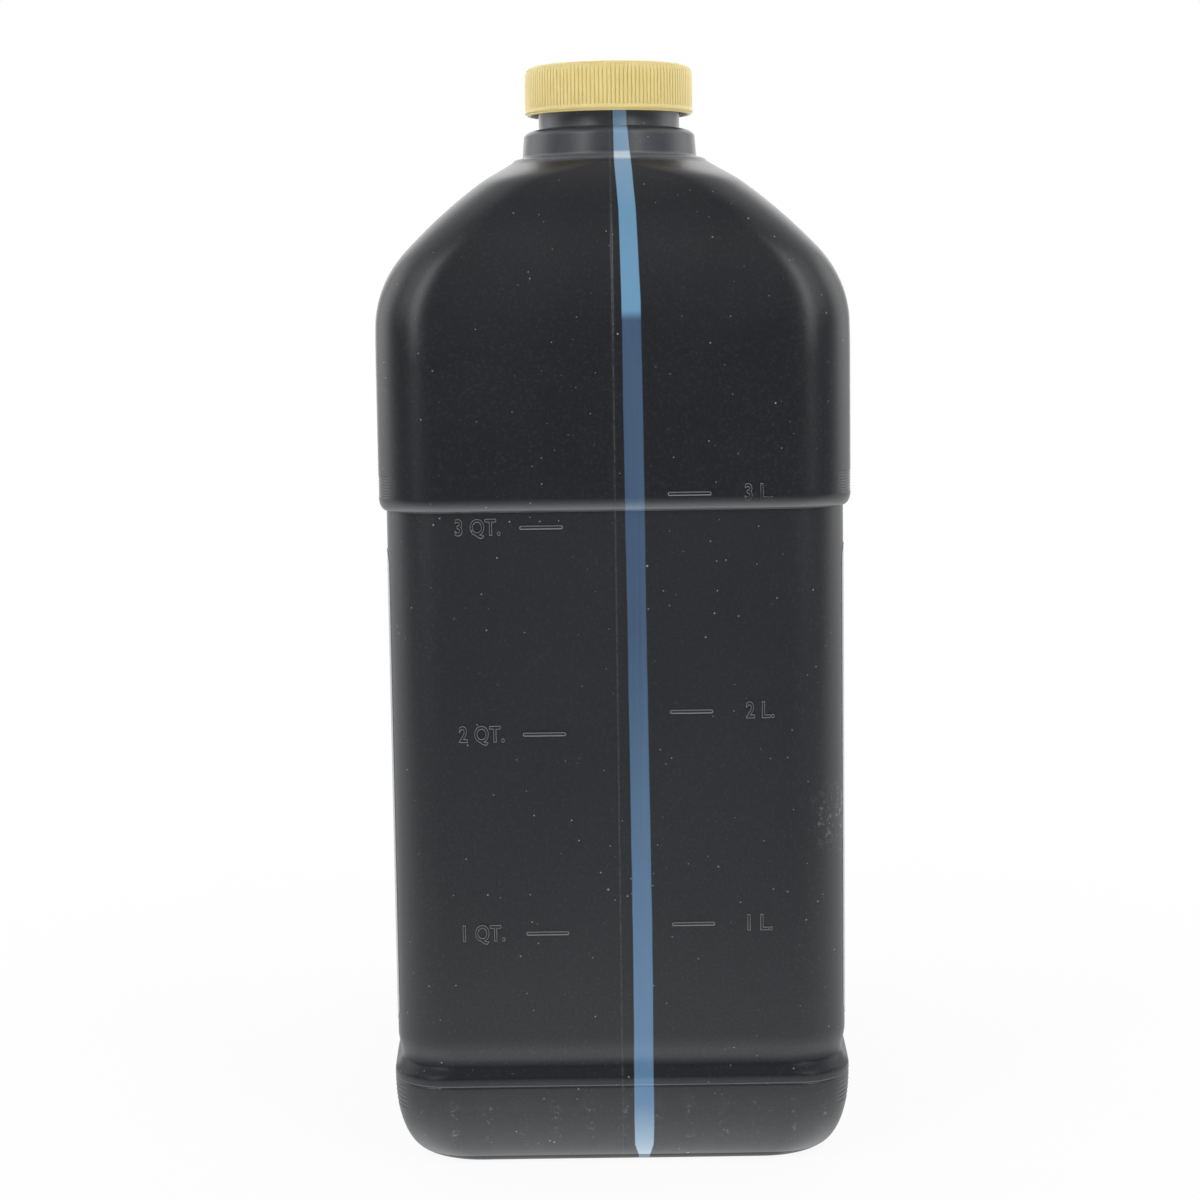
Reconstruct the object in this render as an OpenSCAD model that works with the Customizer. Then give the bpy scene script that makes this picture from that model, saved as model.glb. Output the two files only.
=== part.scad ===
/* [Body] */
// Length of the upper body, from the narrow front face to the back face
body_len = 191; // [175:1:210]
// Width of the upper body between its wide faces, at the corners
body_w = 110; // [100:1:122]
// How far the wide faces bow outwards at mid length
face_bow = 2; // [0:0.5:4]
// Radius of the upright corners, seen from above
corner_r = 13; // [9:1:17]
// Wall thickness of the blown shell
wall = 1; // [0.8:0.1:1.8]
// Height of the shoulder top, where the collar stands
shoulder_top = 240.2; // [236:0.2:248]

/* [Heel and base] */
// How much the heel is set in from the upper body, on every side
heel_less = 0.8; // [0:0.1:3]
// Height over which the heel curves in to the base
heel_h = 20; // [14:1:21]
// How far the heel curves in on every side
heel_in = 9; // [6:0.5:14]
// Width of the flat ring that the bottle stands on
base_land = 7; // [5:1:12]
// Depth of the pushed-up middle of the base
push_up = 9; // [4:0.5:10]
// Width of the sloping side of the pushed-up middle
push_side = 4; // [3:0.5:6]

/* [Label panel] */
// Height of the lower edge of the recessed panel
panel_z0 = 22.2; // [21:0.2:28]
// Height of the upper edge of the recessed panel
panel_z1 = 157; // [150:1:160]
// Depth of the recessed panel below the upper body
panel_in = 1.7; // [0.8:0.1:3]
// Extra depth of the groove at the foot of the panel
groove_in = 0.8; // [0.4:0.1:2]
// Height over which that groove fades out
groove_fade = 6; // [4:0.5:10]
// Height of the sloping step at the foot of the panel
foot_step_h = 3; // [2:0.2:4]
// Height of the rounded step at the head of the panel
step_h = 3.4; // [2:0.2:5]
// Height of the label's lower edge
label_z0 = 34; // [32:1:50]
// Height of the label's upper edge
label_z1 = 148; // [120:1:154]
// Thickness of the label film
label_t = 0.15; // [0.1:0.05:0.3]

/* [Shoulder] */
// Height of the shoulder, from where the wide faces start to curve in up to its top
shoulder_h = 40.2; // [36:0.2:46]
// Radius of the lower shoulder curve
shoulder_r = 26; // [20:1:30]
// Angle at which the lower curve ends
shoulder_turn = 42; // [36:1:46]
// Radius of the long upper shoulder curve
crown_r = 130; // [110:5:180]
// Height over which the front face leans back to the neck, up to the shoulder top
lean_h = 48.2; // [40:0.2:60]

/* [Handle] */
// How far the saddle under the handle lies below the shoulder top, at mid length
saddle_drop = 48.2; // [45:0.2:52]
// Radius of the edge between the back face and the saddle
back_r = 18; // [14:1:22]
// Length over which the wide faces close in towards that edge
back_reach = 60; // [45:1:70]
// Length over which the wide faces close in at the neck's own back
column_reach = 34; // [26:1:44]
// How far behind mid length the neck's own back starts, at the saddle
column_foot_y = 4; // [0:0.5:8]
// Half thickness of the handle across the bottle
handle_a = 17; // [14:0.5:20]
// Half thickness of the handle bar, up and down
handle_b = 10.2; // [9:0.2:12]
// Half thickness of the handle post, front to back
post_b = 13; // [10:0.5:15]
// Clear height of the finger opening, at mid length
finger_gap = 22.5; // [20:0.5:26]
// Fall of the handle towards the back, in degrees
handle_fall = 5; // [0:1:8]
// Radius of the bend from bar to post, at its middle
handle_bend = 21; // [16:1:24]
// How much thicker the bar is at its root in the neck's back
bar_flare = 6; // [3:0.5:8]
// How much wider the post is at its foot in the body's back
post_flare = 9; // [5:0.5:12]
// How far the foot of the post leans in
post_lean = 4; // [2:0.5:6]

/* [Neck] */
// Distance from the front face back to the neck axis
neck_set = 44; // [38:1:52]
// Outer diameter of the neck below its thread
neck_d = 34.2; // [31:0.2:37]
// Wall thickness of the neck
neck_wall = 1.9; // [1.4:0.1:2.6]
// Height of the neck above the collar
neck_h = 12.7; // [11:0.1:16]
// How far the collar under the neck stands out from it
collar_out = 3.7; // [3.5:0.1:5]
// Height of the collar
collar_h = 6.3; // [4:0.1:8]
// Width of the collar's rounded top edge
collar_edge_w = 3.4; // [1:0.1:3.6]
// Height of the collar's rounded top edge
collar_edge_h = 1.9; // [0.8:0.1:2.5]
// Height of the flatter ledge of the shoulder, under the collar
ledge_h = 1.3; // [0.8:0.1:2]

/* [Cap] */
// Gap between the neck and the cap's skirt, where their threads lie
thread_gap = 1.85; // [1.6:0.05:2.2]
// Thickness of the cap's skirt over its ribs
skirt_t = 1.45; // [1.2:0.05:2.2]
// Height of the cap
cap_h = 11.6; // [9:0.1:11.8]
// Thickness of the cap's top
cap_top_t = 1.4; // [1:0.1:2]
// Number of grip ribs round the cap
cap_ribs = 130; // [60:10:140]
// Depth of the grip ribs
rib_depth = 0.35; // [0.2:0.05:0.5]
// Height of the plain rim below the ribs
cap_rim_h = 1.2; // [0.8:0.1:2]
// Thickness of the sealing liner
liner_t = 1; // [0.6:0.1:1.5]
// Gap between the liner's edge and the cap's skirt
liner_gap = 0.3; // [0.1:0.05:0.5]

/* [Contents and marks] */
// Height of the oil in the filled bottle
oil_z = 202; // [197:0.5:204]
// Gap between the oil and the inner wall
oil_gap = 0.2; // [0.1:0.05:0.4]
// Height of the raised level marks above the wall
mark_proud = 0.3; // [0.15:0.05:0.5]
// Length of each level mark
mark_len = 10.2; // [6:0.2:14]
// Thickness of each level mark's line
mark_line = 1; // [0.6:0.1:1.6]
// Distance from the middle of the front face to each mark
mark_x = 12.1; // [9:0.1:16]

/* [Hidden] */
plastic_black = "#26282b";
cap_buff = "#dcc56f";
liner_white = "#e8e6de";
label_film = "#33363b";
oil_amber = "#c08a2b";

shoulder_z0 = shoulder_top - shoulder_h;
saddle_z = shoulder_top - saddle_drop;
neck_y = -body_len / 2 + neck_set;
neck_top = shoulder_top + collar_h + neck_h;
collar_d = neck_d + 2 * collar_out;
bore_d = neck_d - 2 * neck_wall;
cap_bore_d = neck_d + 2 * thread_gap;
cap_d = cap_bore_d + 2 * skirt_t;
cap_z0 = neck_top + liner_t + cap_top_t - cap_h;
// The plain rim stands this much proud of the ribs, and the top edge has this radius
rim_proud = 0.1;
cap_edge = 1.6;
// Fillet under the collar, and how far the neck reaches over its own bore before it is cut
collar_fillet = 0.8;
bore_over = 0.5;
// How much narrower than the bore the blow pin's hole is, on each side, before the bore is cut
pin_less = 3;
// The ledge rises only half as fast as the shoulder below it, and the fillet starts this far inside it
ledge_drop = ledge_h / 2;
foot_sink = 0.15;
// Radius of the round shoulder top, a little wider than the fillet that stands on it
crest_r = collar_d / 2 + collar_fillet + 0.3;
// Height over which the square shoulder turns round below the collar
crest_turn = 7;
// Segments of a ring's front corner, wide face and back end, outside and inside
function corner_n(t) = t > 0 ? 4 : 5;
function flat_n(t) = t > 0 ? 4 : 6;
function end_n(t) = t > 0 ? 7 : 8;
// Level marks: the litre marks stand right of the stripe, the quart marks left
litre_marks = [59.2, 109.8, 160.9];
quart_marks = [57.4, 104.9, 153.4];

// Rises from 0 to 1 as a quarter circle
function quarter(s) = sqrt(1 - pow(1 - min(max(s, 0), 1), 2));
// Rises from 0 to 1 as a smooth step
function smooth(s) = let (c = min(max(s, 0), 1)) c * c * (3 - 2 * c);
function mix(a, b, s) = a + (b - a) * s;

// Shoulder: a short arc that turns into a long one
arc_z = shoulder_z0 + shoulder_r * sin(shoulder_turn);
arc_drop = shoulder_r * (1 - cos(shoulder_turn));
function crown_turn(z) = asin(min(sin(shoulder_turn) + (z - arc_z) / crown_r, 0.99));
function shoulder_drop(z) =
    z <= shoulder_z0 ? 0
    : z <= arc_z ? shoulder_r - sqrt(pow(shoulder_r, 2) - pow(z - shoulder_z0, 2))
    : arc_drop + crown_r * (cos(shoulder_turn) - cos(crown_turn(z)));

// Depth of the recessed panel, its steps and the groove at its foot
function panel_depth(z) =
    let (low = smooth((z - panel_z0) / foot_step_h))
    let (high = 1 - quarter((z - panel_z1) / step_h))
    let (foot = 1 - smooth((z - panel_z0 - foot_step_h) / groove_fade))
    (z > panel_z0 && z < panel_z1 + step_h) ? (panel_in + groove_in * foot) * min(low, high) : 0;

// How far the heel is set in from the upper body, and its curve in to the base
function heel_depth(z) =
    z > panel_z0 + foot_step_h ? 0
    : z > heel_h ? heel_less * (1 - smooth((z - panel_z0) / foot_step_h))
    : heel_less + heel_in * (1 - quarter(z / heel_h));

// Half width at the corners and half length, before the ends are shaped
function half_w(z) = body_w / 2 - heel_depth(z) - panel_depth(z) - shoulder_drop(z);

// The front face leans back in one arc to meet the round shoulder top
lean_z0 = shoulder_top - lean_h;
lean_in = neck_set - crest_r;
lean_r = (pow(lean_h, 2) + pow(lean_in, 2)) / (2 * lean_in);
function lean(z) = z <= lean_z0 ? 0 : lean_r - sqrt(pow(lean_r, 2) - pow(min(z, shoulder_top) - lean_z0, 2));
function front_y(z) = -body_len / 2 + heel_depth(z) + panel_depth(z) + lean(z);

// The back, seen from the side: upright face, rounded edge, falling saddle, then the neck's own back
fall = tan(handle_fall);
edge_turn = 90 - handle_fall;
edge_z = saddle_z - fall * (body_len / 2 - back_r * (1 - cos(edge_turn)));
edge_z0 = edge_z - back_r * sin(edge_turn);
column_foot_z = saddle_z - fall * column_foot_y;
column_h = shoulder_top - column_foot_z;
column_top_y = neck_y + crest_r;
function saddle_y(z) = (saddle_z - z) / fall;
function column_y(z) =
    let (s = (z - column_foot_z) / column_h)
    mix(column_foot_y, column_top_y, 1 - pow(1 - min(max(s, 0), 1), 1.8));
function back_y(z) =
    z <= edge_z0 ? body_len / 2 - heel_depth(z) - panel_depth(z)
    : z <= edge_z ? body_len / 2 - back_r + sqrt(pow(back_r, 2) - pow(z - edge_z0, 2))
    : z <= column_foot_z ? saddle_y(z)
    : column_y(z);

// How the back end of a level ring is rounded: square corners low down, then ever rounder
back_flat = 3;
column_flat = crest_r / 3;
function end_round(z) = smooth((z - edge_z0) / (edge_z - edge_z0));
function end_column(z) = smooth((z - edge_z) / (column_foot_z - edge_z));
function end_depth(z) = mix(mix(corner_r, back_reach, end_round(z)), column_reach, end_column(z));
function end_flat(z, w) = mix(mix(w - corner_r, back_flat, end_round(z)), column_flat, end_column(z));

// The wide faces bow outwards, less and less above the saddle
bow_fade = 30;
function bow(y, z) =
    face_bow * max(0, 1 - pow(2 * y / body_len, 2)) * (1 - smooth((z - saddle_z) / bow_fade));
// Front corners turn fully round just below the collar
function front_r(z, w) = mix(corner_r, w, smooth((z - shoulder_top + crest_turn) / crest_turn));

// Inner surfaces are measured from the outer ones: t is how far inside.
// Up to the back edge that is sideways only, and above it they lie lower by t as well.
drop_h = 8;
least_r = 1;
function down_by(z, t) = t * smooth((z - edge_z0 + drop_h) / drop_h);
function ring_side(t, z) =
    let (w = half_w(z) - t)
    let (r = max(front_r(z, half_w(z)) - t, least_r))
    let (y0 = front_y(z) + t)
    let (y1 = back_y(z) - t)
    let (flat = end_flat(z, w))
    let (deep = min(end_depth(z) - t, 0.9 * (y1 - y0 - r)))
    concat(
        [for (i = [0:corner_n(t)]) let (a = 90 * i / corner_n(t))
            [w + bow(y0 + r, z) * sin(a) - r * (1 - sin(a)), y0 + r * (1 - cos(a))]],
        [for (i = [1:flat_n(t)]) let (y = mix(y0 + r, y1 - deep, i / flat_n(t)))
            [w + bow(y, z), y]],
        [for (i = [1:end_n(t)]) let (a = 90 * i / end_n(t))
            let (y = y1 - deep * (1 - sin(a)))
            [flat + (w + bow(y, z) - flat) * cos(a), y]]);

// A level ring: the middle of the front, then the right side, then the left side back again
function ring(z, t, zz, more) =
    let (side = ring_side(t, zz))
    let (n = len(side))
    let (y0 = front_y(zz) + t)
    let (cy = (front_y(zz) + back_y(zz)) / 2)
    let (mirrored = [for (i = [n - 1:-1:0]) [-side[i][0], side[i][1]]])
    let (pts = concat([[0, y0]], side, mirrored))
    [for (p = pts) [p[0] * more[0], cy + (p[1] - cy) * more[1], z]];

module skin(rings) {
    n = len(rings[0]);
    m = len(rings);
    polyhedron(
        points = [for (r = rings) each r],
        faces = concat(
            [[for (i = [0:n - 1]) i]],
            [for (k = [0:m - 2], i = [0:n - 1]) let (j = (i + 1) % n)
                let (a = k * n + i, b = k * n + j)
                each [[a, a + n, b + n], [a, b + n, b]]],
            [[for (i = [0:n - 1]) (m - 1) * n + n - 1 - i]]));
}

// The level at which the ring of height z lies: the heel rises from the inside of the base,
// and the ledge under the collar is lower than the shoulder's own curve
function ring_level(z, t) =
    z < heel_h ? t + z * (heel_h - t) / heel_h
    : z - down_by(z, t) - ledge_drop * max(0, (z - shoulder_top + ledge_h) / ledge_h);

// Numbers in rising order, each one once
function sorted(v) = len(v) == 0 ? []
    : concat(sorted([for (x = v) if (x < v[0]) x]), [v[0]], sorted([for (x = v) if (x > v[0]) x]));

// Ring heights: heel curve, panel with its steps, back edge, saddle, then the shoulder under the collar
function ring_heights(t) = let (few = t > 0)
    let (foot_step = few ? [0, 1] : [0, 0.35, 0.65, 1])
    let (head_step = few ? [0, 1] : [0, 0.08, 0.32, 0.65, 1])
    sorted(concat(
        [for (n = few ? 4 : 6, i = [1:n]) heel_h * (1 - cos(90 * i / n))],
        [for (s = foot_step) panel_z0 + foot_step_h * s],
        [panel_z0 + foot_step_h + groove_fade, label_z0, label_z1],
        [for (s = head_step) panel_z1 + step_h * s],
        [for (n = few ? 3 : 6, i = [0:n - 1]) edge_z0 + back_r * sin(edge_turn * i / n)],
        [for (n = few ? 5 : 7, i = [0:n]) mix(edge_z, column_foot_z, i / n)],
        [for (n = few ? 8 : 13, i = [1:n]) mix(column_foot_z, shoulder_top - ledge_h, i / n)],
        [shoulder_top]));

// Plan scale of the base's rings. The pushed-up middle is wider inside by the wall on its sloping side
push_slope = atan(push_up / push_side);
function base_scale(t, more) =
    let (in = base_land + more - t - t * (1 - cos(push_slope)) / sin(push_slope))
    [1 - 2 * in / (body_w - 2 * (heel_less + heel_in + t)),
        1 - 2 * in / (body_len - 2 * (heel_less + heel_in + t))];

// The body's form, or with an inset t the form of the space inside it
module body_form(t) {
    skin(concat(
        [ring(push_up + t, t, 0, base_scale(t, push_side))],
        [ring(t, t, 0, base_scale(t, 0))],
        [ring(t, t, 0, [1, 1])],
        [for (z = ring_heights(t)) ring(ring_level(z, t), t, z, [1, 1])]));
}

// Handle: an oval tube that leaves the neck's back, runs level and bends down into the back of the body
post_inset = 0.3;
bar_z = saddle_z + finger_gap + handle_b;
post_y = body_len / 2 - post_inset - post_b;
bend_y = post_y - handle_bend;
bar_in_y = neck_y + crest_r / 2;
post_foot_z = edge_z0 - post_b;
function bar_at(y) = bar_z - fall * y;
bend_z = bar_at(bend_y) - handle_bend;
// Each station: [y, z, direction in degrees from level, half thickness across, half thickness in the plane]
function stations(t) = concat(
    [for (i = [0:5]) let (s = i / 6, y = mix(bar_in_y, bend_y, s))
        let (flare = bar_flare * (1 - smooth(s * 2.2)))
        [y, bar_at(y) - flare, -handle_fall, handle_a - t + flare, handle_b - t + flare]],
    [for (i = [0:6]) let (a = handle_fall + (90 - handle_fall) * i / 6)
        [bend_y + handle_bend * sin(a), bend_z + handle_bend * cos(a), -a, handle_a - t,
            mix(handle_b, post_b, smooth(i / 6)) - t]],
    [for (i = [1:5]) let (s = i / 5)
        [post_y - post_lean * smooth(s), mix(bend_z, post_foot_z, s), -90,
            handle_a - t + post_flare * smooth(s), post_b - t]]);

module handle_tube(t) {
    sides = t > 0 ? 16 : 22;
    skin([for (p = stations(t))
        [for (i = [0:sides - 1]) let (a = 360 * i / sides)
            [p[3] * cos(a), p[0] + p[4] * sin(a) * sin(p[2]), p[1] - p[4] * sin(a) * cos(p[2])]]]);
}

// The outer form, or with t the form of the space inside, before the neck is put on
module jug_form(t) {
    body_form(t);
    handle_tube(t);
}

// Blown body: the outer form less the inner one, open where the blow pin went in, as one smooth shell
module blown_shell() {
    resize([0, 0, 0]) difference() {
        jug_form(0);
        jug_form(wall);
        translate([0, neck_y, shoulder_top - crest_turn])
            cylinder(h = 2 * crest_turn, d = bore_d - 2 * pin_less, $fn = 24);
    }
}

// Round collar, neck and the fillet into the shoulder, about the neck's own axis
module neck_outside() {
    r = collar_d / 2;
    in_r = bore_d / 2 - bore_over;
    steps = [0:22.5:90];
    low = -ledge_drop - foot_sink;
    translate([0, neck_y, shoulder_top]) rotate_extrude($fn = 96)
        polygon(concat(
            [[in_r, low - wall / 2], [r + collar_fillet, low - wall / 2]],
            [for (a = steps) [r + collar_fillet * (1 - sin(a)), low + collar_fillet * (1 - cos(a))]],
            [for (a = steps) [r - collar_edge_w * (1 - cos(a)), collar_h - collar_edge_h * (1 - sin(a))]],
            [[neck_d / 2, collar_h], [neck_d / 2, collar_h + neck_h], [in_r, collar_h + neck_h]]));
}

// Bore of the neck, widening below into the shoulder
module neck_bore() {
    low = -ledge_drop - wall - 1.5;
    high = collar_h + neck_h + 1;
    wide = crest_r - wall - collar_fillet;
    translate([0, neck_y, shoulder_top]) rotate_extrude($fn = 96)
        polygon([[0, low], [wide, low], [wide, 0], [bore_d / 2, collar_h], [bore_d / 2, high], [0, high]]);
}

// Raised level marks on the front face, each rooted in the wall
module level_mark(x, z) {
    y = front_y(z);
    translate([x - mark_len / 2, y - mark_proud, z - mark_line / 2])
        cube([mark_len, mark_proud + wall / 2, mark_line]);
}

module bottle() {
    color(plastic_black) {
        difference() {
            union() {
                blown_shell();
                neck_outside();
            }
            neck_bore();
        }
        for (z = litre_marks) level_mark(mark_x + mark_len / 2, z);
        for (z = quart_marks) level_mark(-mark_x - mark_len / 2, z);
    }
}

// Ribbed skirt: one pointed tooth for every rib, a hair inside the plain rim
module cap_ribbing() {
    r = cap_d / 2 - rim_proud;
    linear_extrude(cap_h - cap_rim_h)
        polygon([for (i = [0:cap_ribs - 1], k = [0, 0.5]) let (a = 360 * (i + k) / cap_ribs)
            (k == 0 ? r - rib_depth : r) * [cos(a), sin(a)]]);
}

// Envelope that rounds the ribs over at the top edge of the cap
module cap_envelope() {
    r = cap_d / 2 + rim_proud;
    rotate_extrude($fn = 96) polygon(concat(
        [[0, 0], [r + 1, 0], [r + 1, cap_h - cap_edge]],
        [for (i = [0:5]) let (a = 90 * i / 5) [r - cap_edge * (1 - cos(a)), cap_h - cap_edge * (1 - sin(a))]],
        [[0, cap_h]]));
}

module cap() {
    color(cap_buff) translate([0, neck_y, cap_z0]) difference() {
        union() {
            cylinder(h = cap_rim_h, d = cap_d, $fn = 96);
            intersection() {
                translate([0, 0, cap_rim_h]) cap_ribbing();
                cap_envelope();
            }
        }
        translate([0, 0, -1]) cylinder(h = cap_h - cap_top_t + 1, d = cap_bore_d, $fn = 96);
    }
}

module cap_liner() {
    color(liner_white) translate([0, neck_y, neck_top])
        cylinder(h = liner_t, d = cap_bore_d - 2 * liner_gap, $fn = 96);
}

// Label film on a wide face, laid on the same facets as the wall and a little way round its corners
module label(side) {
    first = corner_n(0) - 1;
    last = corner_n(0) + flat_n(0) + 1;
    heights = [for (z = ring_heights(0)) if (z >= label_z0 && z <= label_z1) z];
    n = last - first + 1;
    m = len(heights);
    points = [for (out = [0, label_t], z = heights) let (wall_pts = ring_side(0, z))
        for (i = [first:last]) [side * (wall_pts[i][0] + out), wall_pts[i][1], z]];
    function at(out, k, i) = (out * m + k) * n + i;
    faces = concat(
        [for (k = [0:m - 2], i = [0:n - 2]) each [
            [at(0, k, i), at(0, k, i + 1), at(0, k + 1, i + 1), at(0, k + 1, i)],
            [at(1, k, i), at(1, k + 1, i), at(1, k + 1, i + 1), at(1, k, i + 1)]]],
        [for (i = [0:n - 2]) each [
            [at(0, 0, i), at(1, 0, i), at(1, 0, i + 1), at(0, 0, i + 1)],
            [at(0, m - 1, i), at(0, m - 1, i + 1), at(1, m - 1, i + 1), at(1, m - 1, i)]]],
        [for (k = [0:m - 2]) each [
            [at(0, k, 0), at(0, k + 1, 0), at(1, k + 1, 0), at(1, k, 0)],
            [at(0, k, n - 1), at(1, k, n - 1), at(1, k + 1, n - 1), at(0, k + 1, n - 1)]]]);
    color(label_film)
        polyhedron(points = points, faces = side > 0 ? faces : [for (f = faces) [for (c = [3:-1:0]) f[c]]]);
}

module left_label() {
    label(-1);
}

module right_label() {
    label(1);
}

// Oil up to its level, a little clear of the inner wall
module oil() {
    color(oil_amber) resize([0, 0, 0]) intersection() {
        jug_form(wall + oil_gap);
        translate([-body_w, -body_len, 0]) cube([2 * body_w, 2 * body_len, oil_z]);
    }
}

bottle();
cap();
cap_liner();
left_label();
right_label();
oil();
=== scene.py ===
import math

import bmesh
import bpy
import numpy as np
from mathutils import Matrix, Vector
from mathutils.bvhtree import BVHTree


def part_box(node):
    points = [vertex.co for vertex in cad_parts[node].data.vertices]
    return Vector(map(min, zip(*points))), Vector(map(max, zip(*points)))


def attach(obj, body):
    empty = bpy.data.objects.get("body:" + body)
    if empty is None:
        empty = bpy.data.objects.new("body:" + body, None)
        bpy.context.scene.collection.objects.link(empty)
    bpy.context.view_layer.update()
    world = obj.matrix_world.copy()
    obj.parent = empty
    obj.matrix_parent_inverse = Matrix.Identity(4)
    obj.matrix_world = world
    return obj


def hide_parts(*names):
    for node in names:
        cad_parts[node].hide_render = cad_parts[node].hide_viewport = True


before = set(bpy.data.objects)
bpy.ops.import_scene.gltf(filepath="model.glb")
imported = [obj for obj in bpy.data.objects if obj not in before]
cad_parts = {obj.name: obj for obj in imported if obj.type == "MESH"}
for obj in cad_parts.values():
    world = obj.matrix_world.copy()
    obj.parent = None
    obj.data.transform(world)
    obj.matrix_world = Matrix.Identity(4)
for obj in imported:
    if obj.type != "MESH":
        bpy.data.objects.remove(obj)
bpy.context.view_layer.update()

# Camera: a long lens in front of the narrow face, at the height of the shoulders.
# It looks slightly down at the jug, and the jug's top leans a little to the left.
MM = 0.001
eye = Vector((-3.8, -693.5, 205.7)) * MM
tilt = math.radians(6.6)
roll = math.radians(-0.8)


def place(name, data):
    """Makes an object from a mesh, a curve or a lens and puts it in the scene."""
    piece = bpy.data.objects.new(name, data)
    bpy.context.scene.collection.objects.link(piece)
    return piece


lens = bpy.data.cameras.new("studio_camera")
lens.sensor_width = 36
lens.lens = 78
lens.clip_end = 20
camera = place("studio_camera", lens)
camera.matrix_world = (
    Matrix.Translation(eye)
    @ Matrix.Rotation(math.pi / 2 - tilt, 4, "X")
    @ Matrix.Rotation(roll, 4, "Z")
)
bpy.context.scene.camera = camera
bpy.context.scene.view_settings.view_transform = "Standard"

# Blown jug: one hollow moulding in black high-density polyethylene, blown into a split mould.
# Its wall is about a millimetre, the neck is calibrated on a pin, and the handle is pinched out.
body_len, body_w, face_bow, corner_r, wall = 191, 110, 2, 13, 1
shoulder_top = 240.2
heel_less, heel_h, heel_in = 0.8, 20, 9
base_land, push_up, push_side = 7, 9, 4
panel_z0, panel_z1, panel_in = 22.2, 157, 1.7
groove_in, groove_fade, foot_step_h, step_h = 0.8, 6, 3, 3.4
shoulder_z0, shoulder_r, shoulder_turn, crown_r = 200, 26, math.radians(42), 130
lean_z0 = 192
saddle_z, back_r, back_reach, column_reach, column_foot_y = 192, 18, 60, 34, 4
handle_fall, handle_a, handle_b, post_b = math.radians(5), 17, 10.2, 13
finger_gap, handle_bend, bar_flare, post_flare, post_lean, post_inset = 22.5, 21, 6, 9, 4, 0.3
neck_set, collar_d, collar_h, collar_fillet, ledge_h = 44, 41.6, 6.3, 0.8, 1.3
neck_d, bore_d, neck_h = 34.2, 30.4, 12.7
thread_pitch, thread_d = 25.4 / 6, 37.2
neck_y = -body_len / 2 + neck_set
neck_top = shoulder_top + collar_h + neck_h
crest_r = collar_d / 2 + collar_fillet + 0.3
seam_h, insert_z, insert_deep, flute_gap, flute_deep = 0.1, 20.4, 0.16, 8, 0.2
upper_ribs = {"low": 160.2, "high": 165.4, "fade": 0.4, "start": 160.2, "pitch": 0.66, "deep": 0.16}
lower_ribs = {"low": 13.5, "high": 20, "fade": 0.6, "start": 13.6, "pitch": 1.13, "deep": 0.24}


def quarter(s):
    return np.sqrt(1 - (1 - np.clip(s, 0, 1)) ** 2)


def smooth(s):
    s = np.clip(s, 0, 1)
    return s * s * (3 - 2 * s)


def mix(a, b, s):
    return a + (b - a) * s


def bell(s):
    return np.exp(-s * s)


def shoulder_drop(z):
    arc_z = shoulder_z0 + shoulder_r * math.sin(shoulder_turn)
    if z <= shoulder_z0:
        return 0
    if z <= arc_z:
        return shoulder_r - math.sqrt(shoulder_r**2 - (z - shoulder_z0) ** 2)
    turn = math.asin(min(math.sin(shoulder_turn) + (z - arc_z) / crown_r, 0.99))
    return shoulder_r * (1 - math.cos(shoulder_turn)) + crown_r * (math.cos(shoulder_turn) - math.cos(turn))


def panel_depth(z):
    """The recessed panel, with a sloping step and a groove at its foot and a round step at its head."""
    if not panel_z0 < z < panel_z1 + step_h:
        return 0
    foot = 1 - smooth((z - panel_z0 - foot_step_h) / groove_fade)
    ends = min(smooth((z - panel_z0) / foot_step_h), 1 - quarter((z - panel_z1) / step_h))
    return (panel_in + groove_in * foot) * ends


def heel_depth(z):
    if z > heel_h:
        return heel_less * (1 - smooth((z - panel_z0) / foot_step_h))
    return heel_less + heel_in * (1 - quarter(z / heel_h))


def half_width(z):
    return body_w / 2 - heel_depth(z) - panel_depth(z) - shoulder_drop(z)


def front_y(z):
    """The front face leans back above the shoulders, in one arc, to meet the round crest."""
    rise, back = shoulder_top - lean_z0, neck_set - crest_r
    radius = (rise**2 + back**2) / (2 * back)
    lean = radius - math.sqrt(radius**2 - (min(z, shoulder_top) - lean_z0) ** 2) if z > lean_z0 else 0
    return -body_len / 2 + heel_depth(z) + panel_depth(z) + lean


# The back in side view: an upright face, a rounded edge, the falling saddle, then the neck's back
fall = math.tan(handle_fall)
edge_turn = math.pi / 2 - handle_fall
edge_z = saddle_z - fall * (body_len / 2 - back_r * (1 - math.cos(edge_turn)))
edge_z0 = edge_z - back_r * math.sin(edge_turn)
foot_z = saddle_z - fall * column_foot_y


def back_y(z):
    if z <= edge_z0:
        return body_len / 2 - heel_depth(z) - panel_depth(z)
    if z <= edge_z:
        return body_len / 2 - back_r + math.sqrt(back_r**2 - (z - edge_z0) ** 2)
    if z <= foot_z:
        return (saddle_z - z) / fall
    s = min((z - foot_z) / (shoulder_top - foot_z), 1)
    return mix(column_foot_y, neck_y + crest_r, 1 - (1 - s) ** 1.8)


def bow(y, z):
    """The wide faces bow outwards, less and less above the saddle."""
    return face_bow * np.maximum(0, 1 - (2 * y / body_len) ** 2) * (1 - smooth((z - saddle_z) / 30))


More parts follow.
